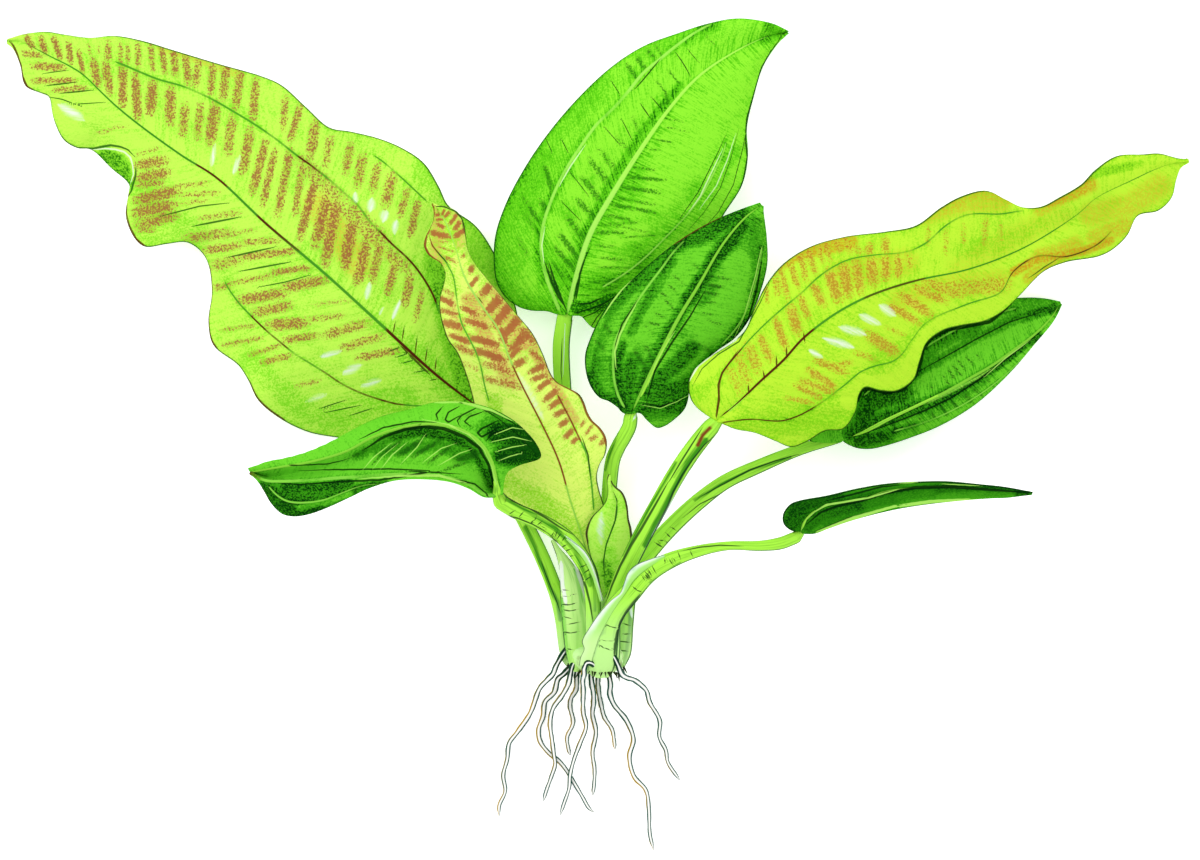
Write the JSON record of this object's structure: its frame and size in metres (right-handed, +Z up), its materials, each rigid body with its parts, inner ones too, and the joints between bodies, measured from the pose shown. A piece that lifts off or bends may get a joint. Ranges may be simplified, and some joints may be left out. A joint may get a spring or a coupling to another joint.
{
  "type": "echinodorus plant",
  "caption": "Bare-rooted echinodorus aquarium plant lying on its side: ruffled brown-banded and dark green leaves on stalks from a short crown with loose white roots.",
  "frame": {"origin": "middle of the plant's footprint, on the surface that it lies on", "axes": "+Z up from the surface that the plant lies on, +Y from the roots towards the leaf tips, +X across the spread of the leaves, to the right of somebody who looks down on it"},
  "size_m": [0.4738, 0.3336, 0.0647],
  "materials": {
    "submersed_leaf": "thin yellow-green leaf with brown bands",
    "striped_leaf": "thin leaf, closely banded in red-brown",
    "emersed_leaf": "satin bright green leaf",
    "dark_leaf": "satin dark green leaf",
    "young_leaf": "bright green leaf that is still half rolled",
    "stalk": "moist light green stalk",
    "sheath": "pale papery leaf base",
    "crown": "pale fleshy rootstock",
    "root": "cream white root"
  },
  "bodies": {
    "root": {"crown": "crown", "outer_sheath": "sheath", "left_long_blade": "submersed_leaf", "left_long_stalk": "stalk", "striped_blade": "striped_leaf", "striped_stalk": "sheath", "folded_blade": "dark_leaf", "folded_stalk": "stalk", "top_blade": "emersed_leaf", "top_stalk": "stalk", "middle_blade": "dark_leaf", "middle_stalk": "stalk", "right_long_blade": "submersed_leaf", "right_long_stalk": "stalk", "broad_blade": "dark_leaf", "broad_stalk": "stalk", "narrow_blade": "dark_leaf", "narrow_stalk": "stalk", "young_leaf": "young_leaf", "young_stalk": "sheath", "root_1": "root", "root_2": "root", "root_3": "root", "root_4": "root", "root_5": "root", "root_6": "root", "root_7": "root", "root_8": "root", "root_9": "root"}
  },
  "joints": []
}
